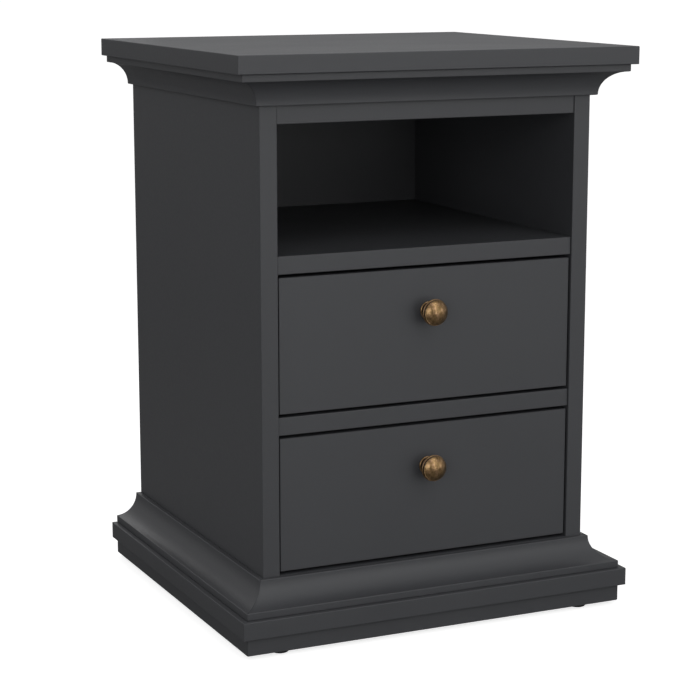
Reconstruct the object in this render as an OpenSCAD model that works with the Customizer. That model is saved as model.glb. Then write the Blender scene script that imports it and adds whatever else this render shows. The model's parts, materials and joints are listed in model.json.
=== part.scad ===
// Nightstand with an open compartment above two drawers.
// Millimetres. +Z up, front faces -Y, origin on the floor under the middle of the top.

/* [Overall] */
// Width of the top, which is also the widest part of the base
top_w = 480; // [460:10:560]
// Depth of the top, front edge to back edge
top_d = 440; // [430:5:500]
// Height from the floor to the top surface
overall_h = 647; // [647:1:720]
// Thickness of every carcase board
board = 20; // [18:1:22]
// How far the carcase stands in from the edges of the top, at the front and sides
inset = 39; // [38:1:44]

/* [Mouldings] */
// Height of the cornice and of the base moulding
mould_h = 35; // [34:1:40]
// How far a moulding stands out from the carcase
mould_p = 32.5; // [32:0.5:36]
// Radius of the cove
cove_r = 26; // [22:1:27]

/* [Base] */
// Height of the strips under the base panel
plinth_h = 20; // [16:1:24]
// How far those strips stand in from the edges of the base panel
plinth_inset = 6.5; // [4:0.5:12]
// Height of a floor glide
glide_h = 5; // [4:0.5:6]
// Radius of a floor glide
glide_r = 10; // [8:1:11]

/* [Front] */
// Height of a drawer front
front_h = 149; // [148:1:150]
// Thickness of a drawer front
front_t = 16; // [15:1:18]
// Gap above and below a drawer front
reveal = 3.5; // [3:0.25:4]
// Gap at each end of a drawer front
side_gap = 1.75; // [1:0.25:2.5]
// How far the shelf, divider and drawers stand back from the carcase front
setback = 2.5; // [1:0.5:4]
// Height of a knob's axis above the middle of its drawer front
knob_rise = 27; // [0:1:40]

/* [Drawer box] */
// Thickness of the drawer sides and back
box_t = 12; // [12:0.5:13]
// Height of a drawer side
box_h = 112; // [104:1:112]
// Length of the drawer sides and runners
box_d = 350; // [330:5:350]
// Thickness of the drawer bottom and of the cabinet back
sheet_t = 3; // [2.5:0.5:3]
// Gap for a runner between a drawer side and a side panel
runner_gap = 12.5; // [12.5:0.1:13]

/* [Runners] */
// Radius of a runner's wheel
roller_r = 8.5; // [8:0.1:8.5]
// Thickness of the runner's sheet steel
steel_t = 1; // [0.8:0.1:1.1]

/* [Hidden] */
$fn = 64;

PAINT = [0.27, 0.27, 0.28];
FOIL = [0.36, 0.36, 0.37];
HARDBOARD = [0.45, 0.31, 0.2];
BRASS = [0.55, 0.42, 0.24];
ZINC = [0.72, 0.73, 0.75];
BEECH = [0.8, 0.65, 0.45];
NYLON = [0.92, 0.92, 0.88];
EPOXY = [0.85, 0.85, 0.83];
BLACK = [0.1, 0.1, 0.1];

over = 1;                              // how far a cut runs past the face that it opens
fit = 0.05;                            // radial clearance of a pin in its hole

// Main planes
half_w = top_w / 2 - inset;            // outer face of a side panel
inner_w = half_w - board;              // inner face of a side panel
top_front = -top_d / 2;
front_y = top_front + inset;           // front of the carcase
back_y = top_d / 2;
rebate_d = 5;                          // depth of the rebate for the back panel
rebate_w = 9;
back_in = back_y - rebate_d;           // where boards end and the back panel starts
recess_y = front_y + setback;          // front of shelf, divider and drawers

// Heights, from the floor
base_z = glide_h + plinth_h;           // underside of the base panel
base_top = base_z + board;
floor_z = base_top + mould_h;          // top of the bottom panel and base moulding
slab_z = overall_h - board;            // underside of the top
cornice_z = slab_z - mould_h;
pitch = front_h + 2 * reveal + board;  // one drawer to the next
lower_z = floor_z + reveal;            // underside of the lower drawer front
divider_z = lower_z + front_h + reveal;
shelf_z = divider_z + pitch;
rail_show = 20;                        // how much of the top rail shows under the cornice
rail_z = cornice_z - rail_show;
rail_setback = 1.5;
divider_depth = 90;

// Moulding section
lip_p = mould_p - cove_r;
lip_land = 0.8;

// Carcase fittings
dowel_r = 4;
dowel_len = 30;
dowel_in_face = 11;                    // depth of a dowel hole in a board's face
dowel_in_end = 21;                     // and in a board's end
dowel_gap = 1;                         // daylight between a dowel and the bottom of the first
cam_r = 7.5;
cam_depth = board / 2 + 3;
cam_back = 24;                         // cam's axis to the joint
cam_socket_r = 5.2;                    // hollow inside a cam disc that takes the bolt's head
bolt_r = 3;
bolt_bore_r = 3.8;
bolt_head_r = 2.8;
bolt_head_t = 2.4;
bolt_neck_len = 2.5;
stud_r = 2.5;                          // threaded end of a cam bolt
stud_len = 10;
stud_hole = stud_len + 0.5;
nail_r = 0.8;
nail_head_r = 2;
nail_head_t = 0.8;
nail_len = 20;                         // under the head

// Drawer
knob_z = front_h / 2 + knob_rise;      // knob axis above the underside of the front
box_w = inner_w - runner_gap;          // outer face of a drawer side
box_in = box_w - box_t;
box_front = recess_y + front_t;
box_back = box_front + box_d;
box_rise = 11.5;                       // drawer side above the underside of the front
axle_rise = box_rise + 10;             // drawer wheel's axis above the underside of the front
groove_rise = box_rise + 9;            // drawer bottom above the underside of the front
groove_d = 5;
groove_fit = 0.1;

// Runner
cab_axle_lift = 0.5;                   // cabinet wheel's axis above the drawer wheel's
roll_gap = 0.15;                       // daylight between a wheel and its track
cab_roller_y = box_front + 16.5;
drw_roller_y = box_back - 12;
web_x = inner_w - steel_t;             // inner face of the cabinet runner's web
slide_x = box_w + steel_t;             // outer face of the drawer runner's web
track_top = cab_axle_lift + roller_r + roll_gap;
track_low = -roller_r - roll_gap;
axle_r = 2.5;
axle_head_r = 4;
axle_head_t = 0.5;
roller_w = 8.2;
cab_axle_x = slide_x + 0.6;            // free end of the cabinet wheel's axle
drw_axle_x = web_x - 1;                // free end of the drawer wheel's axle
roller_side_gap = 0.1;                 // between a wheel and its axle's head
runner_y = box_front + 2.5;
track_edge_x = slide_x + 2;            // free edge of the flange under the wheels
guard_edge_x = slide_x + 6;            // free edge of the flange over the wheels
guard_z = track_top + 0.1;
runner_top = guard_z + steel_t;
stop_top = 4;                          // rear stop of the track, above the drawer wheel's axis
slide_low = box_rise - axle_rise;      // underside of a drawer side, from the same axis
ledge_w = 5;                           // ledge of the drawer slide that the cabinet wheel carries
wood_screw_r = 1.7;
runner_screw_len = 13;
runner_hole_r = 2;
runner_screw_y = [cab_roller_y + 22, cab_roller_y + 170, cab_roller_y + 312];
slide_screw_r = 1.4;
slide_screw_len = 11;
slide_screw_y = [box_front + 32, box_front + 160, box_front + 310];
slide_screw_x = box_in + 8;

LOWER = lower_z;
UPPER = lower_z + pitch;

// ---------- helpers ----------

// A box given by its lowest and highest corners
module slab(lo, hi) {
    translate(lo) cube(hi - lo);
}

// A cylinder of length len from a point, along +X, +Y or +Z
module rod_x(p, len, r) {
    translate(p) rotate([0, 90, 0]) cylinder(h = len, r = r);
}

module rod_y(p, len, r) {
    translate(p) rotate([-90, 0, 0]) cylinder(h = len, r = r);
}

module rod_z(p, len, r) {
    translate(p) cylinder(h = len, r = r);
}

// The right-hand part as drawn when side is 1, its mirror image when side is -1
module on_side(side) {
    if (side > 0) children();
    else mirror([1, 0, 0]) children();
}

// ---------- joints between boards ----------
// Each carcase board that meets the side panels is [height of its middle, dowel ys, cam ys].
SHELF_JOINT = [shelf_z + board / 2, [front_y + 70, back_in - 70], [front_y + 38, back_in - 38]];
FLOOR_JOINT = [floor_z - board / 2, [front_y + 70, back_in - 70], [front_y + 38, back_in - 38]];
DIVIDER_JOINT = [divider_z + board / 2, [front_y + 28], [front_y + 62]];
FLAT_JOINTS = [SHELF_JOINT, FLOOR_JOINT, DIVIDER_JOINT];
// An upright rail is [middle of its thickness, height of its dowel, height of its cam].
FRONT_RAIL_JOINT = [front_y + rail_setback + board / 2, rail_z + 14, rail_z + 38];
BACK_RAIL_JOINT = [back_in - board / 2, rail_z + 14, rail_z + 38];
RAIL_JOINTS = [FRONT_RAIL_JOINT, BACK_RAIL_JOINT];
// Fittings between the top and each side panel, along Y
TOP_CAM_Y = [front_y + 75, back_in - 75];
TOP_DOWEL_Y = [front_y + 120, back_in - 120];
side_mid = inner_w + board / 2;

module dowel_holes_in_face() {
    for (j = FLAT_JOINTS, y = j[1]) rod_x([inner_w - over, y, j[0]], dowel_in_face + over, dowel_r);
    for (j = RAIL_JOINTS) rod_x([inner_w - over, j[0], j[1]], dowel_in_face + over, dowel_r);
}

module stud_holes_in_face() {
    for (j = FLAT_JOINTS, y = j[2]) rod_x([inner_w - over, y, j[0]], stud_hole + over, stud_r + fit);
    for (j = RAIL_JOINTS) rod_x([inner_w - over, j[0], j[2]], stud_hole + over, stud_r + fit);
}

// Screws up through the base panel into the side panels
BASE_SCREW_Y = [front_y + 50, (front_y + back_y) / 2, back_y - 50];
base_screw_r = 2.95;
base_screw_in = 30;                    // thread inside a side panel
base_screw_hole = base_screw_in + 2;
base_screw_sink = 0.2;                 // head below the underside of the base panel
base_hole_r = 3.5;
base_head_r = 5.5;
base_head_t = 3;

// ---------- carcase ----------

module top_panel() color(PAINT) difference() {
    slab([-top_w / 2, top_front, slab_z], [top_w / 2, back_y, overall_h]);
    for (s = [-1, 1]) {
        for (y = TOP_DOWEL_Y) rod_z([s * side_mid, y, slab_z - over], dowel_in_face + over, dowel_r);
        for (y = TOP_CAM_Y) rod_z([s * side_mid, y, slab_z - over], stud_hole + over, stud_r + fit);
    }
}

module side_panel(side) color(PAINT) on_side(side) difference() {
    slab([inner_w, front_y, base_top], [half_w, back_y, slab_z]);
    slab([inner_w - over, back_in, base_top - over], [inner_w + rebate_w, back_y + over, slab_z + over]);
    dowel_holes_in_face();
    stud_holes_in_face();
    for (y = TOP_DOWEL_Y) rod_z([side_mid, y, slab_z - dowel_in_end], dowel_in_end + over, dowel_r);
    for (y = TOP_CAM_Y) {
        rod_z([side_mid, y, slab_z - cam_back], cam_back + over, bolt_bore_r);
        rod_x([inner_w - over, y, slab_z - cam_back], cam_depth + over, cam_r);
    }
    for (y = BASE_SCREW_Y)
        rod_z([side_mid, y, base_top - over], base_screw_hole + over, base_screw_r + fit);
    for (z = [LOWER, UPPER], y = runner_screw_y)
        rod_x([inner_w - over, y, z + axle_rise], runner_screw_len + over, wood_screw_r + fit);
    nail_holes();
}

// The bores for dowels, cam bolts and cam discs in both ends of a flat board, cams from below
module flat_board_bores(joint) {
    for (s = [-1, 1]) on_side(s) {
        for (y = joint[1]) rod_x([inner_w - dowel_in_end, y, joint[0]], dowel_in_end + over, dowel_r);
        for (y = joint[2]) {
            rod_x([inner_w - cam_back, y, joint[0]], cam_back + over, bolt_bore_r);
            rod_z([inner_w - cam_back, y, joint[0] - board / 2 - over], cam_depth + over, cam_r);
        }
    }
}

module flat_board(z, y0, y1, joint) color(PAINT) difference() {
    slab([-inner_w, y0, z], [inner_w, y1, z + board]);
    flat_board_bores(joint);
    nail_holes();
}

module shelf_panel() flat_board(shelf_z, recess_y, back_in, SHELF_JOINT);
module bottom_panel() flat_board(floor_z - board, front_y, back_in, FLOOR_JOINT);
module divider_rail() flat_board(divider_z, recess_y, recess_y + divider_depth, DIVIDER_JOINT);

// Cams are bored from the face that points into the cabinet, which is the rear one if cam_side is 1.
module upright_rail(y0, joint, cam_side) color(PAINT) difference() {
    cam_y = joint[0] + (cam_side > 0 ? board / 2 - cam_depth : -board / 2 - over);
    slab([-inner_w, y0, rail_z], [inner_w, y0 + board, slab_z]);
    for (s = [-1, 1]) on_side(s) {
        rod_x([inner_w - dowel_in_end, joint[0], joint[1]], dowel_in_end + over, dowel_r);
        rod_x([inner_w - cam_back, joint[0], joint[2]], cam_back + over, bolt_bore_r);
        rod_y([inner_w - cam_back, cam_y, joint[2]], cam_depth + over, cam_r);
    }
    nail_holes();
}

module top_rail_front() upright_rail(front_y + rail_setback, FRONT_RAIL_JOINT, 1);
module top_rail_back() upright_rail(back_in - board, BACK_RAIL_JOINT, -1);

back_panel_z0 = base_top + 1;
back_panel_z1 = slab_z - 0.5;
back_panel_w = inner_w + rebate_w - 0.5;
// Nails go into the shelf, the bottom panel and the rear top rail, and into both side panels.
NAIL_ROWS = [floor_z - board / 2, shelf_z + board / 2, (rail_z + slab_z) / 2];
NAIL_X = [-120, 0, 120];
NAIL_SIDE_Z = [150, 240, 330, 500, 560];
nail_side_x = inner_w + rebate_w / 2;

module each_back_nail() {
    for (x = NAIL_X, z = NAIL_ROWS) translate([x, 0, z]) children();
    for (s = [-1, 1], z = NAIL_SIDE_Z) translate([s * nail_side_x, 0, z]) children();
}

module nail_holes() each_back_nail()
    rod_y([0, back_in + sheet_t - nail_len - over, 0], nail_len + 2 * over, nail_r + fit);

module back_panel() color(HARDBOARD) difference() {
    slab([-back_panel_w, back_in, back_panel_z0], [back_panel_w, back_in + sheet_t, back_panel_z1]);
    nail_holes();
}

module back_panel_nails() color(ZINC) each_back_nail() {
    rod_y([0, back_in + sheet_t - nail_len, 0], nail_len, nail_r);
    rod_y([0, back_in + sheet_t, 0], nail_head_t, nail_head_r);
}

// ---------- mouldings ----------

// Section: x is the distance from the carcase, y runs from the lip to the fillet.
module mould_section() difference() {
    square([mould_p, mould_h]);
    translate([lip_p, -over]) square([mould_p, lip_land + over]);
    translate([mould_p, lip_land]) circle(r = cove_r, $fn = 128);
}

// Everything on the far side of the mitre plane through the right front corner
module mitre_cut(turn) {
    translate([half_w, front_y, -over]) rotate([0, 0, turn])
        translate([-3 * mould_p, 0, 0]) cube([6 * mould_p, 3 * mould_p, mould_h + 2 * over]);
}

// Both bars stand on z = 0, with the lip there.
module front_bar() difference() {
    translate([half_w + mould_p, front_y, 0]) rotate([90, 0, -90])
        linear_extrude(2 * (half_w + mould_p)) mould_section();
    for (s = [-1, 1]) on_side(s) mitre_cut(-45);
}

module side_bar() difference() {
    translate([half_w, back_y, 0]) rotate([90, 0, 0])
        linear_extrude(back_y - front_y + mould_p) mould_section();
    mitre_cut(135);
}

module cornice_at() translate([0, 0, cornice_z]) children();
module base_at() translate([0, 0, floor_z]) mirror([0, 0, 1]) children();

module cornice_front() color(PAINT) cornice_at() front_bar();
module cornice_side(side) color(PAINT) cornice_at() on_side(side) side_bar();
module base_moulding_front() color(PAINT) base_at() front_bar();
module base_moulding_side(side) color(PAINT) base_at() on_side(side) side_bar();

// ---------- base ----------

module base_panel() color(PAINT) difference() {
    slab([-top_w / 2, top_front, base_z], [top_w / 2, back_y, base_top]);
    for (s = [-1, 1], y = BASE_SCREW_Y) {
        rod_z([s * side_mid, y, base_z - over], board + 2 * over, base_hole_r);
        rod_z([s * side_mid, y, base_z - over], base_head_t + over, base_head_r + 0.5);
    }
}

module base_screws() color(ZINC) for (s = [-1, 1], y = BASE_SCREW_Y) {
    rod_z([s * side_mid, y, base_z + base_screw_sink], base_head_t - base_screw_sink, base_head_r);
    rod_z([s * side_mid, y, base_z + base_head_t], board - base_head_t + base_screw_in, base_screw_r);
}

strip_w = 34;                          // plinth strips, wide enough to clear the base screws
plinth_x = top_w / 2 - plinth_inset;
plinth_y = top_front + plinth_inset;
glide_x = plinth_x - 45;
glide_y = [plinth_y + strip_w / 2, back_y - strip_w / 2];
glide_pin_r = 1.5;
glide_pin_len = 14;
glide_hole = glide_pin_len + 0.5;

module glide_holes() {
    for (s = [-1, 1], y = glide_y)
        rod_z([s * glide_x, y, glide_h - over], glide_hole + over, glide_pin_r + fit);
}

// The front strip is mitred into the side strips; the rear strip butts between them.
module plinth_front() color(PAINT) difference() {
    translate([0, 0, glide_h]) linear_extrude(plinth_h) polygon([
        [-plinth_x, plinth_y], [plinth_x, plinth_y],
        [plinth_x - strip_w, plinth_y + strip_w], [-plinth_x + strip_w, plinth_y + strip_w]]);
    glide_holes();
}

module plinth_side(side) color(PAINT) on_side(side) translate([0, 0, glide_h])
    linear_extrude(plinth_h) polygon([
        [plinth_x, plinth_y], [plinth_x, back_y],
        [plinth_x - strip_w, back_y], [plinth_x - strip_w, plinth_y + strip_w]]);

module plinth_back() color(PAINT) difference() {
    slab([-plinth_x + strip_w, back_y - strip_w, glide_h],
        [plinth_x - strip_w, back_y, glide_h + plinth_h]);
    glide_holes();
}

module floor_glides() color(BLACK) for (s = [-1, 1], y = glide_y) translate([s * glide_x, y, 0]) {
    rotate_extrude() polygon([[0, 0], [glide_r - 1.5, 0], [glide_r - 0.4, 0.5], [glide_r, 1.6],
        [glide_r, glide_h - 0.6], [glide_r - 0.6, glide_h], [0, glide_h]]);
    rod_z([0, 0, glide_h], glide_pin_len, glide_pin_r);
}

// ---------- carcase fittings ----------

dowel_start = dowel_in_face - dowel_gap - dowel_len;  // from the joint, towards the board's middle

module carcase_dowels() color(BEECH) for (s = [-1, 1]) on_side(s) {
    for (j = FLAT_JOINTS, y = j[1]) rod_x([inner_w + dowel_start, y, j[0]], dowel_len, dowel_r - fit);
    for (j = RAIL_JOINTS) rod_x([inner_w + dowel_start, j[0], j[1]], dowel_len, dowel_r - fit);
    for (y = TOP_DOWEL_Y) rod_z([side_mid, y, slab_z + dowel_start], dowel_len, dowel_r - fit);
}

// A cam bolt along +X: its head sits in the cam disc at the origin, its thread starts at reach
module cam_bolt(reach, shank_r, head_r) {
    neck_x = bolt_head_t / 2;
    shank_x = neck_x + bolt_neck_len;
    rod_x([-neck_x, 0, 0], bolt_head_t, head_r);
    rod_x([neck_x, 0, 0], bolt_neck_len, 0.6 * shank_r);
    rod_x([shank_x, 0, 0], reach - shank_x, shank_r);
    rod_x([reach, 0, 0], stud_len, stud_r);
}

cam_slot_w = 1.2;
cam_slot_d = 1.3;

// A cam disc with its slotted face at z = 0 and its bolt along +X at height mid
module cam_disc(r, depth, mid, socket_r, bore_r) difference() {
    cylinder(h = depth, r = r);
    translate([0, 0, mid]) sphere(r = socket_r);
    rod_x([0, 0, mid], r + over, bore_r);
    for (turn = [0, 90]) rotate([0, 0, turn])
        slab([-r / 2, -cam_slot_w / 2, -over], [r / 2, cam_slot_w / 2, cam_slot_d]);
}

// Places its children at each cam on the right-hand side: turned so that +X is the bolt's direction
// and +Z points from the disc's open face into the board
module each_right_cam() {
    for (j = FLAT_JOINTS, y = j[2]) translate([inner_w - cam_back, y, j[0] - board / 2]) children();
    translate([inner_w - cam_back, FRONT_RAIL_JOINT[0] + board / 2, FRONT_RAIL_JOINT[2]])
        rotate([90, 0, 0]) children();
    translate([inner_w - cam_back, BACK_RAIL_JOINT[0] - board / 2, BACK_RAIL_JOINT[2]])
        rotate([-90, 0, 0]) children();
    for (y = TOP_CAM_Y) translate([inner_w, y, slab_z - cam_back]) rotate([0, -90, 0])
        mirror([0, 0, 1]) children();
}

module carcase_cam_discs() color(ZINC) for (s = [-1, 1]) on_side(s) each_right_cam()
    cam_disc(cam_r - fit, cam_depth - 0.5, board / 2, cam_socket_r, bolt_bore_r);

module carcase_cam_bolts() color(ZINC) for (s = [-1, 1]) on_side(s) each_right_cam()
    translate([0, 0, board / 2]) cam_bolt(cam_back, bolt_r, bolt_head_r);

// ---------- runners ----------

// The cabinet half: a C-shaped channel on the side panel, its wheel's axle at the front.
// z = 0 is the drawer wheel's axis.
module cabinet_runner() color(EPOXY) difference() {
    runner_back = runner_y + box_d;
    union() {
        slab([web_x, runner_y, track_low - steel_t], [inner_w, runner_back, runner_top]);
        slab([track_edge_x, runner_y, track_low - steel_t], [web_x, runner_back, track_low]);
        slab([guard_edge_x, runner_y, guard_z], [web_x, runner_back, runner_top]);
        slab([track_edge_x, runner_back - steel_t, track_low], [web_x, runner_back, stop_top]);
        rod_x([cab_axle_x, cab_roller_y, cab_axle_lift], axle_head_t, axle_head_r);
        rod_x([cab_axle_x, cab_roller_y, cab_axle_lift], web_x - cab_axle_x, axle_r);
    }
    for (y = runner_screw_y) rod_x([web_x - over, y, 0], steel_t + 2 * over, runner_hole_r);
}

// The drawer half: a Z-shaped strip under and beside the drawer side, its wheel's axle at the back
module drawer_slide() color(EPOXY) difference() {
    union() {
        slab([box_w, box_front, slide_low - steel_t], [slide_x, box_back, track_top + steel_t]);
        slab([slide_x, box_front, track_top], [slide_x + ledge_w, box_back, track_top + steel_t]);
        slab([box_in + 1, box_front, slide_low - steel_t], [box_w, box_back, slide_low]);
        rod_x([slide_x, drw_roller_y, 0], drw_axle_x - slide_x, axle_r);
        rod_x([drw_axle_x - axle_head_t, drw_roller_y, 0], axle_head_t, axle_head_r);
    }
    for (y = slide_screw_y)
        rod_z([slide_screw_x, y, slide_low - steel_t - over], steel_t + 2 * over, slide_screw_r + 0.3);
}

hub_r = 5.2;
hub_proud = 0.4;
tread_chamfer = 0.5;
pocket_r = 0.8;
pocket_at = 6.5;                       // from the wheel's axis
pocket_end = 1.2;                      // from the hub's end to the bottom of a pocket

// A nylon wheel along +X from x = 0, with a raised hub and four moulded pockets in each face
module wheel() color(NYLON) difference() {
    rotate([0, 90, 0]) rotate_extrude() polygon([
        [axle_r + fit, 0], [hub_r, 0], [hub_r, hub_proud], [roller_r - tread_chamfer, hub_proud],
        [roller_r, hub_proud + tread_chamfer], [roller_r, roller_w - hub_proud - tread_chamfer],
        [roller_r - tread_chamfer, roller_w - hub_proud], [hub_r, roller_w - hub_proud],
        [hub_r, roller_w], [axle_r + fit, roller_w]]);
    for (a = [0:90:270], x = [-over, roller_w - pocket_end]) rotate([a, 0, 0])
        rod_x([x, pocket_at, 0], pocket_end + over, pocket_r);
}

module runner(side, base) on_side(side) translate([0, 0, base + axle_rise]) cabinet_runner();
module slide(side, base) on_side(side) translate([0, 0, base + axle_rise]) drawer_slide();

cab_roller_x = cab_axle_x + axle_head_t + roller_side_gap;
drw_roller_x = drw_axle_x - axle_head_t - roller_side_gap - roller_w;

module cabinet_roller(side, base) on_side(side)
    translate([cab_roller_x, cab_roller_y, base + axle_rise + cab_axle_lift]) wheel();

module drawer_roller(side, base) on_side(side)
    translate([drw_roller_x, drw_roller_y, base + axle_rise]) wheel();

runner_head_r = 3.4;
runner_head_t = 0.7;

module runner_screws() color(ZINC) for (s = [-1, 1], z = [LOWER, UPPER], y = runner_screw_y) on_side(s) {
    rod_x([web_x - runner_head_t, y, z + axle_rise], runner_head_t, runner_head_r);
    rod_x([web_x, y, z + axle_rise], runner_screw_len, wood_screw_r);
}

// ---------- drawers ----------
// base is the underside of the drawer front.

knob_bolt_r = 2;
front_dowel_z = [box_rise + 26, box_rise + 92];
front_cam_z = box_rise + 58;
box_cam_r = 6;
box_cam_depth = 10;
box_cam_back = 22;
box_socket_r = 3.4;
box_bolt_r = 2.4;
box_bore_r = 2.7;
box_dowel_r = 3;
box_dowel_len = 24;
box_dowel_in_front = 10;               // depth of its hole in the drawer front
box_dowel_in_side = 15;                // and in the drawer side
box_dowel_gap = 0.5;                   // daylight between a dowel and the bottom of the first
box_mid = box_in + box_t / 2;

// Screws through the sides into the back
back_screw_y = box_back - box_t / 2;
back_screw_z = [box_rise + 40, box_rise + 95];
back_screw_in = 25;                    // thread inside the back
back_screw_hole = back_screw_in + 1;
back_hole_r = 2;
back_head_r = 3.5;
back_head_t = 2;

// Screws up through the bottom into the back
bottom_screw_x = [-100, 0, 100];
bottom_screw_len = 13;
bottom_screw_r = 1.4;
bottom_head_r = 2.8;
head_t = 0.8;                          // flat head of a bottom or slide screw
slide_head_r = 3;

module drawer_front(base) color(PAINT) translate([0, 0, base]) difference() {
    groove_x = box_in + groove_d;
    slab([-inner_w + side_gap, recess_y, 0], [inner_w - side_gap, box_front, front_h]);
    slab([-groove_x, box_front - groove_d - groove_fit, groove_rise - groove_fit],
        [groove_x, box_front + over, groove_rise + sheet_t + groove_fit]);
    rod_y([0, recess_y - over, knob_z], front_t + 2 * over, knob_bolt_r + 0.25);
    for (s = [-1, 1]) on_side(s) {
        for (z = front_dowel_z)
            rod_y([box_mid, box_front - box_dowel_in_front, z], box_dowel_in_front + over, box_dowel_r);
        rod_y([box_mid, box_front - stud_hole, front_cam_z], stud_hole + over, stud_r + fit);
    }
}

module drawer_side(side, base) color(FOIL) on_side(side) translate([0, 0, base]) difference() {
    slab([box_in, box_front, box_rise], [box_w, box_back, box_rise + box_h]);
    slab([box_in - over, box_front - over, groove_rise - groove_fit],
        [box_in + groove_d + groove_fit, box_back + over, groove_rise + sheet_t + groove_fit]);
    for (z = front_dowel_z) rod_y([box_mid, box_front - over, z], box_dowel_in_side + over, box_dowel_r);
    rod_y([box_mid, box_front - over, front_cam_z], box_cam_back + over, box_bore_r);
    rod_x([box_in - over, box_front + box_cam_back, front_cam_z], box_cam_depth + over, box_cam_r);
    for (z = back_screw_z) {
        rod_x([box_in - over, back_screw_y, z], box_t + 2 * over, back_hole_r);
        rod_x([box_w - back_head_t, back_screw_y, z], back_head_t + over, back_head_r + 0.2);
    }
    for (y = slide_screw_y)
        rod_z([slide_screw_x, y, box_rise - over], slide_screw_len + over, slide_screw_r + fit);
}

module drawer_back(base) color(FOIL) translate([0, 0, base]) difference() {
    slab([-box_in, box_back - box_t, groove_rise + sheet_t], [box_in, box_back, box_rise + box_h]);
    for (s = [-1, 1], z = back_screw_z) on_side(s)
        rod_x([box_in - back_screw_hole, back_screw_y, z], back_screw_hole + over, wood_screw_r + fit);
    for (x = bottom_screw_x)
        rod_z([x, back_screw_y, groove_rise], bottom_screw_len + over, bottom_screw_r + fit);
}

module drawer_bottom(base) color(HARDBOARD) translate([0, 0, base]) difference() {
    half = box_in + groove_d - 0.1;
    slab([-half, box_front - groove_d, groove_rise], [half, box_back, groove_rise + sheet_t]);
    for (x = bottom_screw_x)
        rod_z([x, back_screw_y, groove_rise - over], sheet_t + 2 * over, bottom_screw_r + 0.3);
}

// Mushroom knob along -Y from the drawer front: foot, neck, bowl, rim bead, groove and domed cap.
// Its section is drawn upright: x is the distance from the axis, y the distance from the front.
knob_len = 26;
foot_r = 10.5;
foot_bead_r = 1.2;
neck_r = 5.9;
neck_cove_r = 3.2;
neck_end = 8.2;
bowl_r = 7.2;
BOWL_CENTRE = [14.2, 7.8];
rim_r = 15;
rim_bead_r = 1.1;
rim_at = 16;
groove_r = 12.4;
groove_at = rim_at + rim_bead_r;
cap_r = 13.9;
cap_at = 19.4;
knob_bore = 10;

function arc(centre, r, a0, a1, n) = [for (i = [0:n]) let (a = a0 + (a1 - a0) * i / n)
    centre + r * [cos(a), sin(a)]];

cap_h = knob_len - cap_at;
dome_r = (cap_r * cap_r + cap_h * cap_h) / (2 * cap_h);

KNOB_SECTION = concat(
    [[0, 0]],
    arc([foot_r - foot_bead_r, foot_bead_r], foot_bead_r, -90, 90, 8),
    arc([neck_r + neck_cove_r, 2 * foot_bead_r + neck_cove_r], neck_cove_r, -90, -180, 6),
    [[neck_r, neck_end]],
    arc(BOWL_CENTRE, bowl_r, 165, 115, 5),
    arc([rim_r - rim_bead_r, rim_at], rim_bead_r, -60, 90, 9),
    [[groove_r, groove_at], [groove_r, cap_at]],
    arc([0, knob_len - dome_r], dome_r, 90 - asin(cap_r / dome_r), 90, 10)
);

module drawer_knob(base) color(BRASS)
    translate([0, recess_y, base + knob_z]) rotate([90, 0, 0]) difference() {
        rotate_extrude() polygon(KNOB_SECTION);
        translate([0, 0, -over]) cylinder(h = knob_bore + over, r = knob_bolt_r + fit);
    }

// Dowels, cam bolts and cam discs that hold the box to the front
module drawer_fittings(base) translate([0, 0, base]) for (s = [-1, 1]) on_side(s) {
    dowel_y = box_front - box_dowel_in_front + box_dowel_gap;
    color(BEECH) for (z = front_dowel_z) rod_y([box_mid, dowel_y, z], box_dowel_len, box_dowel_r - fit);
    color(ZINC) translate([box_in, box_front + box_cam_back, front_cam_z])
        rotate([-90, 0, 0]) rotate([0, 90, 0]) {
            cam_disc(box_cam_r - fit, box_cam_depth - 0.3, box_t / 2, box_socket_r, box_bore_r);
            translate([0, 0, box_t / 2]) cam_bolt(box_cam_back, box_bolt_r, box_bolt_r);
        }
}

// Knob screw, box screws, runner screws and bottom screws
knob_screw_in = 9;                     // thread inside the knob

module drawer_screws(base) color(ZINC) translate([0, 0, base]) {
    rod_y([0, box_front, knob_z], 2.4, 2 * knob_bolt_r);
    rod_y([0, recess_y - knob_screw_in, knob_z], front_t + knob_screw_in, knob_bolt_r);
    for (x = bottom_screw_x) {
        rod_z([x, back_screw_y, groove_rise - head_t], head_t, bottom_head_r);
        rod_z([x, back_screw_y, groove_rise], bottom_screw_len, bottom_screw_r);
    }
    for (s = [-1, 1]) on_side(s) {
        for (z = back_screw_z) {
            head_x = box_w - back_head_t;
            rod_x([box_in - back_screw_in, back_screw_y, z], head_x - box_in + back_screw_in, wood_screw_r);
            rod_x([head_x, back_screw_y, z], back_head_t, back_head_r);
        }
        for (y = slide_screw_y) {
            rod_z([slide_screw_x, y, box_rise - steel_t - head_t], head_t, slide_head_r);
            rod_z([slide_screw_x, y, box_rise - steel_t], slide_screw_len, slide_screw_r);
        }
    }
}

// ---------- nodes ----------

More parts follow.
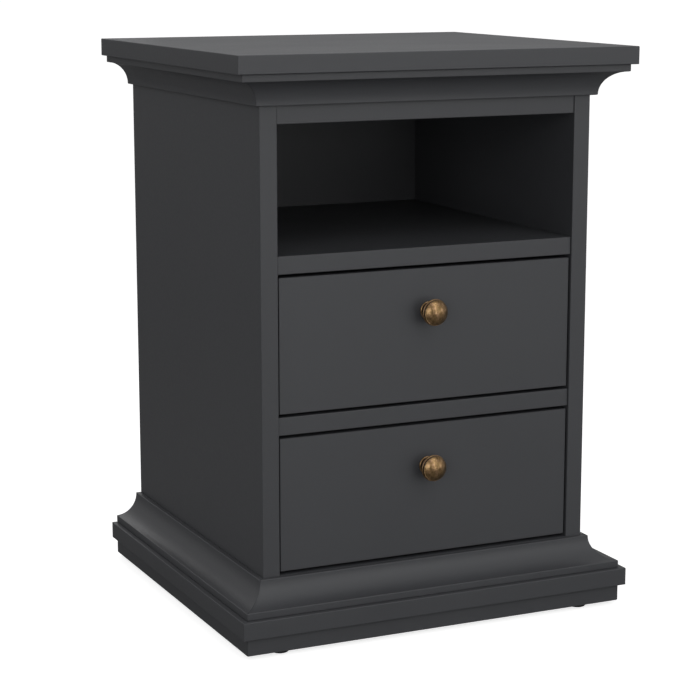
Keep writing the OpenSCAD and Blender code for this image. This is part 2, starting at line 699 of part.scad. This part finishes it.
top_panel();
cornice_front();
cornice_side(-1);  // cornice_left
cornice_side(1);  // cornice_right
side_panel(-1);  // side_panel_left
side_panel(1);  // side_panel_right
top_rail_front();
top_rail_back();
shelf_panel();
divider_rail();
bottom_panel();
back_panel();
base_moulding_front();
base_moulding_side(-1);  // base_moulding_left
base_moulding_side(1);  // base_moulding_right
base_panel();
plinth_front();
plinth_side(-1);  // plinth_left
plinth_side(1);  // plinth_right
plinth_back();
floor_glides();
carcase_dowels();
carcase_cam_discs();
carcase_cam_bolts();
base_screws();
back_panel_nails();
runner(-1, UPPER);  // runner_upper_left
runner(1, UPPER);  // runner_upper_right
runner(-1, LOWER);  // runner_lower_left
runner(1, LOWER);  // runner_lower_right
runner_screws();
cabinet_roller(-1, UPPER);  // roller_cabinet_upper_left
cabinet_roller(1, UPPER);  // roller_cabinet_upper_right
cabinet_roller(-1, LOWER);  // roller_cabinet_lower_left
cabinet_roller(1, LOWER);  // roller_cabinet_lower_right
drawer_front(UPPER);  // drawer_upper_front
drawer_side(-1, UPPER);  // drawer_upper_side_left
drawer_side(1, UPPER);  // drawer_upper_side_right
drawer_back(UPPER);  // drawer_upper_back
drawer_bottom(UPPER);  // drawer_upper_bottom
slide(-1, UPPER);  // drawer_upper_slide_left
slide(1, UPPER);  // drawer_upper_slide_right
drawer_knob(UPPER);  // drawer_upper_knob
drawer_fittings(UPPER);  // drawer_upper_fittings
drawer_screws(UPPER);  // drawer_upper_screws
drawer_roller(-1, UPPER);  // roller_drawer_upper_left
drawer_roller(1, UPPER);  // roller_drawer_upper_right
drawer_front(LOWER);  // drawer_lower_front
drawer_side(-1, LOWER);  // drawer_lower_side_left
drawer_side(1, LOWER);  // drawer_lower_side_right
drawer_back(LOWER);  // drawer_lower_back
drawer_bottom(LOWER);  // drawer_lower_bottom
slide(-1, LOWER);  // drawer_lower_slide_left
slide(1, LOWER);  // drawer_lower_slide_right
drawer_knob(LOWER);  // drawer_lower_knob
drawer_fittings(LOWER);  // drawer_lower_fittings
drawer_screws(LOWER);  // drawer_lower_screws
drawer_roller(-1, LOWER);  // roller_drawer_lower_left
drawer_roller(1, LOWER);  // roller_drawer_lower_right
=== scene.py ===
import json
import math

import bmesh
import bpy
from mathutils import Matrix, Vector


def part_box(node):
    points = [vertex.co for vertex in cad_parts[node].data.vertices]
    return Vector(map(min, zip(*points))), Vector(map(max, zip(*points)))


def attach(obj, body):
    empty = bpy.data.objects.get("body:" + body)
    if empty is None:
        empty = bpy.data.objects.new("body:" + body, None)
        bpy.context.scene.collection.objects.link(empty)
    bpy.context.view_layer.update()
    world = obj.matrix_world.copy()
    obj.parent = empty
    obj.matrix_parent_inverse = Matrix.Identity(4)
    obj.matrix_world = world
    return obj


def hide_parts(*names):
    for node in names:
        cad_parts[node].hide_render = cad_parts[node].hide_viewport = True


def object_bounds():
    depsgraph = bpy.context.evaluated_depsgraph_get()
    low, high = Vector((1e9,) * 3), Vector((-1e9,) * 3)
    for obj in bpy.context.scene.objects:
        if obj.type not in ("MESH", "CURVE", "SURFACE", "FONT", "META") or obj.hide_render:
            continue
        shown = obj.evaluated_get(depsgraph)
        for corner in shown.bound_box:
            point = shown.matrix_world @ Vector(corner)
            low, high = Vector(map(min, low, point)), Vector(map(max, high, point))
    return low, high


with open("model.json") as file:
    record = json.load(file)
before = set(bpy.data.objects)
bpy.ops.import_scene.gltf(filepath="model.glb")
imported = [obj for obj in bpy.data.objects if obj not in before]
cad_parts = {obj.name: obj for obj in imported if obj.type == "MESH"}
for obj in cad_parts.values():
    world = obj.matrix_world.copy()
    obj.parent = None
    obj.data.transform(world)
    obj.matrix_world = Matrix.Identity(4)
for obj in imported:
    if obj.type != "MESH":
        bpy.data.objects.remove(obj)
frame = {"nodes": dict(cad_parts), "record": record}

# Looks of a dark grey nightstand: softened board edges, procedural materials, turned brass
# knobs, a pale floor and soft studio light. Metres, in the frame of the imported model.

cad_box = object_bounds()
middle = (cad_box[0] + cad_box[1]) / 2
MM = 0.001
X, Y, Z = range(3)


# ---------- shader helper ----------

# Numbers of a Mix node's sockets for a, for b and for the result, by the kind of value it mixes
MIX_SOCKETS = {"FLOAT": (2, 3, 0), "VECTOR": (4, 5, 1), "RGBA": (6, 7, 2)}


class Shader:
    """A Principled material whose textures are placed in the object's own coordinates."""

    def __init__(self, name):
        self.material = bpy.data.materials.new(name)
        self.material.use_nodes = True
        self.tree = self.material.node_tree
        self.surface = self.tree.nodes["Principled BSDF"]
        coordinates = self.add("ShaderNodeTexCoord")
        self.here, self.facing = coordinates.outputs["Object"], coordinates.outputs["Normal"]

    def put(self, socket, value):
        if isinstance(value, bpy.types.NodeSocket):
            self.tree.links.new(value, socket)
        else:
            socket.default_value = value

    def add(self, kind, inputs=None, **settings):
        node = self.tree.nodes.new(kind)
        for name, value in settings.items():
            setattr(node, name, value)
        for name, value in (inputs or {}).items():
            self.put(node.inputs[name], value)
        return node

    def math(self, operation, a, b):
        return self.add("ShaderNodeMath", {0: a, 1: b}, operation=operation).outputs[0]

    def weighted(self, a, a_weight, b, b_weight):
        """The sum of a and b, each times its weight."""
        return self.math("ADD", self.math("MULTIPLY", a, a_weight), self.math("MULTIPLY", b, b_weight))

    def stretched(self, factors):
        """The place on the object, with each coordinate times its factor."""
        node = self.add("ShaderNodeVectorMath", {0: self.here, 1: factors}, operation="MULTIPLY")
        return node.outputs[0]

    def axis(self, vector, index):
        return self.add("ShaderNodeSeparateXYZ", {"Vector": vector}).outputs[index]

    def noise(self, scale, detail=2.0, roughness=0.5, distortion=0.0, at=None):
        node = self.add("ShaderNodeTexNoise", {"Vector": at or self.here, "Scale": scale,
            "Detail": detail, "Roughness": roughness, "Distortion": distortion})
        return node.outputs["Fac"]

    def cells(self, scale, at):
        return self.add("ShaderNodeTexVoronoi", {"Vector": at, "Scale": scale}).outputs["Color"]

    def waves(self, scale, direction):
        node = self.add("ShaderNodeTexWave", {"Vector": self.here, "Scale": scale},
            bands_direction=direction)
        return node.outputs["Fac"]

    def fit(self, value, span, onto=(0.0, 1.0)):
        """The value, clamped to one span and carried onto another."""
        node = self.add("ShaderNodeMapRange", {"Value": value, "From Min": span[0],
            "From Max": span[1], "To Min": onto[0], "To Max": onto[1]})
        return node.outputs["Result"]

    def mix(self, factor, a, b, kind="RGBA"):
        at_a, at_b, result = MIX_SOCKETS[kind]
        node = self.add("ShaderNodeMix", {0: factor, at_a: a, at_b: b}, data_type=kind)
        return node.outputs[result]

    def bump(self, height, depth, under=None):
        """A normal for a relief of the given depth in metres, over the normal under it."""
        inputs = {"Height": height, "Distance": depth, "Strength": 1.0}
        if under:
            inputs["Normal"] = under
        return self.add("ShaderNodeBump", inputs).outputs["Normal"]

    def done(self, color, roughness, normal=None, **uniform):
        self.put(self.surface.inputs["Base Color"], color)
        self.put(self.surface.inputs["Roughness"], roughness)
        if normal:
            self.put(self.surface.inputs["Normal"], normal)
        for name, value in uniform.items():
            self.put(self.surface.inputs[name.replace("_", " ")], value)
        return self.material


def linear(red, green, blue):
    """An sRGB colour, 0 to 255, as the shader's linear colour."""
    def one(c):
        c /= 255
        return c / 12.92 if c <= 0.04045 else ((c + 0.055) / 1.055) ** 2.4
    return (one(red), one(green), one(blue), 1.0)


def grey(level):
    return (level, level, level, 1.0)


def scaled(color, factor):
    return (color[0] * factor, color[1] * factor, color[2] * factor, 1.0)


# ---------- materials ----------

LACQUER = linear(65, 66, 69)


def toned(shader, share, color, spread):
    """The colour, from darker to lighter by spread as share goes from 0 to 1."""
    return shader.mix(share, scaled(color, 1 - spread), scaled(color, 1 + spread))


def mottled(shader, grain, dark, light, roughness, depth, **uniform):
    """A finished material in which one grain sets colour, gloss and relief."""
    color = shader.mix(shader.fit(grain, (0.35, 0.65)), dark, light)
    return shader.done(color, shader.fit(grain, (0.3, 0.7), roughness), shader.bump(grain, depth),
        **uniform)


def lacquer_layers(shader):
    """Colour, roughness and normal of matt lacquer: a fine orange peel, uneven by a few per cent
    in tone and gloss."""
    grain = shader.noise(1500, detail=3, roughness=0.65)
    peel = shader.noise(420, detail=2)
    cloud = shader.noise(9, detail=3, roughness=0.6)
    tone = shader.fit(shader.weighted(grain, 0.6, cloud, 0.4), (0.3, 0.7))
    color = toned(shader, tone, LACQUER, 0.07)
    rough = shader.fit(shader.math("ADD", peel, cloud), (0.7, 1.3), (0.44, 0.52))
    normal = shader.bump(peel, 0.05 * MM, shader.bump(grain, 0.02 * MM))
    return color, rough, normal


def make_lacquer():
    shader = Shader("grey_lacquer")
    return shader.done(*lacquer_layers(shader))


def make_cut_board():
    """Lacquered board whose sawn rear ends show bare chipboard."""
    chip_brown, raw_rough = linear(168, 136, 98), 0.85
    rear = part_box("side_panel_left")[1].y - 0.3 * MM
    shader = Shader("lacquered_chipboard")
    color, rough, normal = lacquer_layers(shader)
    is_rear = shader.math("MULTIPLY",
        shader.math("GREATER_THAN", shader.axis(shader.here, Y), rear),
        shader.math("GREATER_THAN", shader.axis(shader.facing, Y), 0.9))
    chips = shader.axis(shader.cells(420, at=shader.stretched((1, 1, 0.45))), X)
    dust = shader.noise(900, detail=4, roughness=0.7)
    tone = shader.weighted(chips, 0.7, dust, 0.5)
    raw = shader.mix(shader.fit(tone, (0.2, 1.0)), scaled(chip_brown, 0.55), scaled(chip_brown, 1.2))
    return shader.done(
        shader.mix(is_rear, color, raw),
        shader.math("MAXIMUM", rough, shader.math("MULTIPLY", is_rear, raw_rough)),
        shader.mix(is_rear, normal, shader.bump(tone, 0.15 * MM), kind="VECTOR"))


def make_hardboard(name, painted_axis):
    """Pressed fibre sheet, bare and brown on one face and painted grey on the face that looks
    along painted_axis, which is (index, sign)."""
    sheet_brown, fleck_brown = linear(116, 84, 58), linear(62, 42, 28)
    index, sign = painted_axis
    shader = Shader(name)
    color, rough, normal = lacquer_layers(shader)
    towards = shader.math("MULTIPLY", shader.axis(shader.facing, index), float(sign))
    is_painted = shader.math("GREATER_THAN", towards, 0.5)
    fibres = shader.noise(240, detail=8, roughness=0.72, distortion=1.5)
    flecks = shader.fit(shader.noise(700, detail=5, roughness=0.8), (0.55, 0.75))
    brown = toned(shader, shader.fit(fibres, (0.3, 0.72)), sheet_brown, 0.28)
    brown = shader.mix(shader.math("MULTIPLY", flecks, 0.5), brown, fleck_brown)
    bare_rough = shader.fit(fibres, (0.3, 0.7), (0.62, 0.82))
    return shader.done(
        shader.mix(is_painted, brown, color),
        shader.mix(is_painted, bare_rough, rough, kind="FLOAT"),
        shader.bump(fibres, 0.08 * MM, normal))


def make_foil():
    """Wrapped drawer board: a printed linen weave under a satin film."""
    foil_grey, thread_scale = linear(84, 85, 87), 520
    shader = Shader("drawer_foil")
    across = shader.math("ADD", shader.waves(thread_scale, "Y"), shader.waves(thread_scale, "X"))
    weave = shader.math("MULTIPLY", shader.waves(thread_scale, "Z"), across)
    slub = shader.noise(160, detail=3, at=shader.stretched((1, 1, 6)))
    color = toned(shader, shader.fit(shader.math("ADD", weave, slub), (0.3, 1.7)), foil_grey, 0.16)
    return shader.done(color, shader.fit(slub, (0.3, 0.7), (0.42, 0.56)), shader.bump(weave, 0.03 * MM))


def make_brass():
    """Antique brass under clear lacquer: rubbed pale on the dome, brown in the grooves, with faint
    upright brush marks and small dark, green and pink spots of old patina."""
    dull, rubbed = linear(108, 78, 38), linear(184, 148, 98)
    pink, olive, spot_brown = linear(190, 146, 122), linear(112, 90, 36), linear(86, 60, 36)
    groove_black, groove_brown = linear(26, 17, 9), linear(68, 47, 27)
    shader = Shader("antique_brass")
    patina = shader.add("ShaderNodeAttribute", attribute_name="patina").outputs["Fac"]
    brushed = shader.noise(300, detail=5, roughness=0.65, at=shader.stretched((3.2, 1, 0.6)))
    cloud = shader.noise(210, detail=4, roughness=0.6)
    spots = shader.fit(shader.noise(520, detail=4, roughness=0.7), (0.58, 0.72))
    worn = shader.weighted(brushed, 0.5, cloud, 0.5)
    bright = shader.mix(shader.fit(worn, (0.38, 0.62)), dull, rubbed)
    bright = shader.mix(shader.fit(cloud, (0.52, 0.7), (0.0, 0.6)), bright, pink)
    bright = shader.mix(shader.fit(cloud, (0.46, 0.34), (0.0, 0.5)), bright, olive)
    bright = shader.mix(shader.math("MULTIPLY", spots, 0.7), bright, spot_brown)
    dark = shader.mix(cloud, groove_black, groove_brown)
    uneven = shader.fit(cloud, (0.45, 0.75), (-0.15, 0.3))
    share = shader.fit(shader.math("ADD", patina, uneven), (0.1, 1.0))
    age = shader.math("ADD", worn, shader.math("ADD", share, spots))
    rough = shader.fit(age, (0.3, 1.6), (0.3, 0.48))
    normal = shader.bump(brushed, 0.05 * MM, shader.bump(cloud, 0.12 * MM))
    return shader.done(shader.mix(share, bright, dark), rough, normal, Metallic=1.0,
        Coat_Weight=0.8, Coat_Roughness=0.3)


def make_enamel():
    """White epoxy coat on the runners' sheet steel, with a little rubbed-in grey."""
    white, rubbed_grey = linear(228, 228, 223), linear(168, 167, 162)
    shader = Shader("runner_enamel")
    peel = shader.noise(650, detail=2)
    streaks = shader.noise(60, detail=5, roughness=0.7, at=shader.stretched((1, 0.15, 1)))
    smear = shader.math("MULTIPLY", shader.fit(streaks, (0.5, 0.75)), 0.35)
    color = shader.mix(smear, white, rubbed_grey)
    return shader.done(color, shader.fit(peel, (0.3, 0.7), (0.3, 0.42)), shader.bump(peel, 0.03 * MM))


def make_nylon():
    shader = Shader("roller_nylon")
    return mottled(shader, shader.noise(300, detail=3), linear(226, 226, 214), linear(240, 240, 232),
        roughness=(0.38, 0.5), depth=0.02 * MM)


def make_zinc():
    shader = Shader("zinc_plate")
    return mottled(shader, shader.noise(500, detail=4, roughness=0.6), linear(178, 180, 184),
        linear(206, 208, 212), roughness=(0.24, 0.42), depth=0.02 * MM, Metallic=1.0)


def make_beech():
    shader = Shader("dowel_beech")
    rays = shader.noise(420, detail=4, roughness=0.6, at=shader.stretched((0.12, 1, 1)))
    color = shader.mix(shader.fit(rays, (0.35, 0.65)), linear(186, 146, 100), linear(216, 182, 138))
    return shader.done(color, 0.6, shader.bump(rays, 0.05 * MM))


def make_glide_plastic():
    shader = Shader("glide_plastic")
    return mottled(shader, shader.noise(800, detail=4, roughness=0.7), linear(26, 26, 27),
        linear(40, 40, 41), roughness=(0.45, 0.6), depth=0.04 * MM)


# ---------- the CAD nodes ----------

# Rounding of sharp edges, by slot: its width, and whether it shrinks on smaller features
EDGES = {
    "grey_lacquer": (0.9 * MM, False),
    "drawer_box": (0.6 * MM, False),
    "hardboard": (0.4 * MM, True),
    "runner_enamel": (0.3 * MM, True),
    "roller_nylon": (0.3 * MM, True),
    "zinc_steel": (0.2 * MM, True),
    "dowel_beech": (0.6 * MM, True),
    "glide_plastic": (0.6 * MM, True),
}
WELD_WITHIN = 0.002 * MM
FLAT_WITHIN = math.radians(0.5)
SHARP_FROM = math.radians(40)


def soften(node, width, shrinks):
    """Joins the node's loose triangles and rounds its sharp edges, so that they catch the light."""
    for face in node.data.polygons:
        face.use_smooth = True
    weld = node.modifiers.new("weld", "WELD")
    weld.merge_threshold = WELD_WITHIN
    flat = node.modifiers.new("flat", "DECIMATE")
    flat.decimate_type = "DISSOLVE"
    flat.angle_limit = FLAT_WITHIN
    bevel = node.modifiers.new("bevel", "BEVEL")
    bevel.width = width
    bevel.segments = 3
    bevel.limit_method = "ANGLE"
    bevel.angle_limit = SHARP_FROM
    bevel.use_clamp_overlap = shrinks
    bevel.harden_normals = True
    shade = node.modifiers.new("shade", "WEIGHTED_NORMAL")
    shade.keep_sharp = True


BY_SLOT = {
    "grey_lacquer": make_lacquer(),
    "drawer_box": make_foil(),
    "runner_enamel": make_enamel(),
    "roller_nylon": make_nylon(),
    "zinc_steel": make_zinc(),
    "dowel_beech": make_beech(),
    "glide_plastic": make_glide_plastic(),
    "knob_brass": make_brass(),
}
# Nodes that need more than their slot's material: sheets painted on one face, boards with sawn ends
BY_NODE = {
    "back_panel": make_hardboard("back_hardboard", (Y, -1)),
    "drawer_upper_bottom": make_hardboard("drawer_upper_hardboard", (Z, 1)),
    "drawer_lower_bottom": make_hardboard("drawer_lower_hardboard", (Z, 1)),
}
CUT_BOARDS = ("side_panel_left", "side_panel_right", "plinth_left", "plinth_right", "plinth_back")
BY_NODE.update(dict.fromkeys(CUT_BOARDS, make_cut_board()))

for subpart in frame["record"]["subparts"]:
    node = frame["nodes"][subpart["node"]]
    slot = subpart["material_slot"]
    node.data.materials.clear()
    node.data.materials.append(BY_NODE.get(node.name) or BY_SLOT[slot])
    if slot in EDGES:
        soften(node, *EDGES[slot])


# ---------- knobs ----------

# The turned outline, in mm. AT is a distance from the drawer's face, OUT one from the axis, and
# RADIUS that of a round stretch. AT and OUT of the bowl and of the rim's bead are their centres.
# The knob's length and the cap's width come from the frame.
FOOT_OUT, FOOT_BEAD_RADIUS = 10.5, 1.2
NECK_OUT, NECK_COVE_RADIUS, NECK_END_AT = 5.9, 3.2, 8.2
BOWL_AT, BOWL_OUT, BOWL_RADIUS = 7.8, 14.2, 7.2
RIM_AT, RIM_OUT, RIM_BEAD_RADIUS = 16.0, 13.9, 1.1
GROOVE_OUT = 12.4
CAP_LENGTH, CAP_EDGE_RADIUS = 6.6, 0.5
# Depth over which the patina darkens from either lip of the groove
GROOVE_FADE = 0.2
# Number of points round the knob
KNOB_SIDES = 96


def arc(center_along, center_out, radius, start, end, steps):
    """Points (along, out) of an arc, angles in degrees from the direction of along."""
    return [(center_along + radius * math.cos(math.radians(start + (end - start) * i / steps)),
             center_out + radius * math.sin(math.radians(start + (end - start) * i / steps)))
            for i in range(steps + 1)]


def knob_profile(length, rim):
    """Half outline of the knob in mm as (along, out, patina), from the drawer's face outwards.
    The patina goes from 0, rubbed bright, to 1, dark."""
    neck_cove_at = 2 * FOOT_BEAD_RADIUS + NECK_COVE_RADIUS
    groove_at = RIM_AT + RIM_BEAD_RADIUS
    cap_at, cap_out = length - CAP_LENGTH, rim - RIM_BEAD_RADIUS
    cap_edge_out = cap_out - CAP_EDGE_RADIUS
    dome_rise = CAP_LENGTH - CAP_EDGE_RADIUS
    dome_radius = (cap_out ** 2 + dome_rise ** 2) / (2 * dome_rise)
    dome_angle = math.degrees(math.asin(cap_out / dome_radius))
    foot = arc(FOOT_BEAD_RADIUS, FOOT_OUT - FOOT_BEAD_RADIUS, FOOT_BEAD_RADIUS, 180, 0, 12)
    neck = arc(neck_cove_at, NECK_OUT + NECK_COVE_RADIUS, NECK_COVE_RADIUS, 180, 270, 10)
    bowl = arc(BOWL_AT, BOWL_OUT, BOWL_RADIUS, -75, -30, 10)
    rim_bead = arc(RIM_AT, RIM_OUT, RIM_BEAD_RADIUS, 150, 10, 14)
    groove = [(groove_at, RIM_OUT - GROOVE_FADE), (groove_at, GROOVE_OUT),
        (cap_at, GROOVE_OUT), (cap_at, RIM_OUT - CAP_EDGE_RADIUS - GROOVE_FADE)]
    cap_edge = arc(cap_at + CAP_EDGE_RADIUS, cap_edge_out, CAP_EDGE_RADIUS, 180, 90, 5)
    dome = arc(length - dome_radius, 0.0, dome_radius, dome_angle, 0, 28)
    # The dome begins on the last point of the cap's edge, so that point comes twice, once per patina
    stretches = [(0.3, [(0.0, 0.0)]), (0.3, foot), (1.0, neck), (0.7, [(NECK_END_AT, NECK_OUT)]),
        (0.5, bowl), (0.45, rim_bead), (1.0, groove), (0.3, cap_edge), (0.0, dome)]
    return [(along, max(out, 0.0), patina) for patina, points in stretches for along, out in points]


def turned(name, profile):
    """A closed solid of revolution about -Y with a per-vertex patina value."""
    mesh = bpy.data.meshes.new(name)
    shape = bmesh.new()
    layer = shape.verts.layers.float.new("patina")
    rings = []
    for along, out, patina in profile:
        ring = []
        for i in range(KNOB_SIDES if out > 0 else 1):
            turn = 2 * math.pi * i / KNOB_SIDES
            vertex = shape.verts.new((out * math.cos(turn) * MM, -along * MM, out * math.sin(turn) * MM))
            vertex[layer] = patina
            ring.append(vertex)
        rings.append(ring)
    for near, far in zip(rings, rings[1:]):
        for i in range(KNOB_SIDES):
            j = (i + 1) % KNOB_SIDES
            corners = [near[i % len(near)], near[j % len(near)], far[j % len(far)], far[i % len(far)]]
            shape.faces.new(list(dict.fromkeys(corners))).smooth = True
    bmesh.ops.recalc_face_normals(shape, faces=shape.faces)
    shape.to_mesh(mesh)
    shape.free()
    piece = bpy.data.objects.new(name, mesh)
    bpy.context.scene.collection.objects.link(piece)
    return piece


def make_knob(drawer):
    node = f"drawer_{drawer}_knob"
    low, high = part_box(node)
    length, rim = (high.y - low.y) / MM, (high.x - low.x) / 2 / MM
    piece = turned(f"knob_{drawer}", knob_profile(length, rim))
    piece.location = ((low.x + high.x) / 2, high.y, (low.z + high.z) / 2)
    piece.data.materials.append(BY_SLOT["knob_brass"])
    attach(piece, f"drawer_{drawer}")
    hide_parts(node)


make_knob("upper")
make_knob("lower")


# ---------- studio ----------

# Half of the floor's side
FLOOR_HALF = 40.0
# The paper's two greys and its glow as the camera sees it, and its grey as it lights the furniture
PAPER_DARK, PAPER_PALE, PAPER_GLOW = 0.66, 0.68, 0.78
PAPER_LIT = 0.23
# The surround's brightness to the camera, and as a light
SKY_SEEN, SKY_LIT = 1.1, 0.405
# The camera's lens and sensor in mm, its place, and its angles in radians below level and to the
# right of +Y
LENS, SENSOR = 105.56, 36.0
CAMERA_AT = (-1.0230, -2.1662, 0.7534)
CAMERA_DOWN, CAMERA_TURN = 0.1933, 0.4366
CAMERA_REACH = 200.0


def make_floor():
    """A pale seamless floor. The camera sees it lit through, as on a light table, with a faint
    contact shadow. To the furniture it is a dim surface, so little light comes from below."""
    mesh = bpy.data.meshes.new("studio_floor")
    corners = [(x * FLOOR_HALF, y * FLOOR_HALF, 0) for x, y in ((-1, -1), (1, -1), (1, 1), (-1, 1))]
    mesh.from_pydata(corners, [], [(0, 1, 2, 3)])
    floor = bpy.data.objects.new("studio_floor", mesh)
    bpy.context.scene.collection.objects.link(floor)
    shader = Shader("studio_paper")
    seen = shader.add("ShaderNodeLightPath").outputs["Is Camera Ray"]
    fibre = shader.fit(shader.noise(60, detail=4), (0.3, 0.7))
    paper = shader.mix(fibre, grey(PAPER_DARK), grey(PAPER_PALE))
    glow = shader.math("MULTIPLY", seen, PAPER_GLOW)
    floor.data.materials.append(shader.done(shader.mix(seen, grey(PAPER_LIT), paper), 0.9,
        Emission_Color=grey(1.0), Emission_Strength=glow))


def make_sky():
    """A plain white surround, bright to the camera and dimmer as a light."""
    world = bpy.data.worlds.new("studio")
    world.use_nodes = True
    tree = world.node_tree
    background = tree.nodes["Background"]
    background.inputs["Color"].default_value = grey(1.0)
    path = tree.nodes.new("ShaderNodeLightPath")
    strength = tree.nodes.new("ShaderNodeMapRange")
    tree.links.new(path.outputs["Is Camera Ray"], strength.inputs["Value"])
    strength.inputs["To Min"].default_value = SKY_LIT
    strength.inputs["To Max"].default_value = SKY_SEEN
    tree.links.new(strength.outputs["Result"], background.inputs["Strength"])
    bpy.context.scene.world = world


def around(azimuth, elevation, distance=2.4):
    """A place round the furniture. Azimuth is in degrees from straight in front, to the right."""
    turn, rise = math.radians(azimuth), math.radians(elevation)
    return middle + distance * Vector((math.sin(turn) * math.cos(rise),
        -math.cos(turn) * math.cos(rise), math.sin(rise)))


def make_panel(name, place, size, power):
    """A square soft box at place that faces the furniture. Its power is in watts."""
    lamp = bpy.data.lights.new(name, "AREA")
    lamp.shape = "SQUARE"
    lamp.size = size
    lamp.energy = power
    box = bpy.data.objects.new(name, lamp)
    bpy.context.scene.collection.objects.link(box)
    box.location = place
    box.rotation_euler = (middle - box.location).to_track_quat("-Z", "Y").to_euler()
    box.visible_camera = False


def make_camera():
    """The view from front left, a little above the top."""
    data = bpy.data.cameras.new("camera")
    data.sensor_width = SENSOR
    data.lens = LENS
    data.clip_end = CAMERA_REACH
    camera = bpy.data.objects.new("camera", data)
    bpy.context.scene.collection.objects.link(camera)
    camera.location = CAMERA_AT
    camera.rotation_euler = (math.pi / 2 - CAMERA_DOWN, 0.0, -CAMERA_TURN)
    bpy.context.scene.camera = camera


make_floor()
make_sky()
make_panel("overhead", (0.0, 0.1, 1.5), size=0.9, power=4.1)
make_panel("left_high", (-1.0, 0.0, 1.3), size=0.6, power=1.0)
make_panel("front_left", around(-42, 9), size=1.2, power=9.4)
make_panel("front_top", around(12, 52), size=0.7, power=4.2)
make_panel("front_high", around(10, 28), size=1.2, power=5.2)
make_panel("front_low", around(15, 8), size=1.2, power=3.6)
make_panel("front_floor", around(8, -5), size=0.3, power=1.4)
make_panel("right", around(45, 5), size=1.2, power=3.4)
make_panel("back", around(180, 10, distance=1.5), size=0.5, power=1.0)
make_camera()
bpy.context.scene.view_settings.view_transform = "Standard"
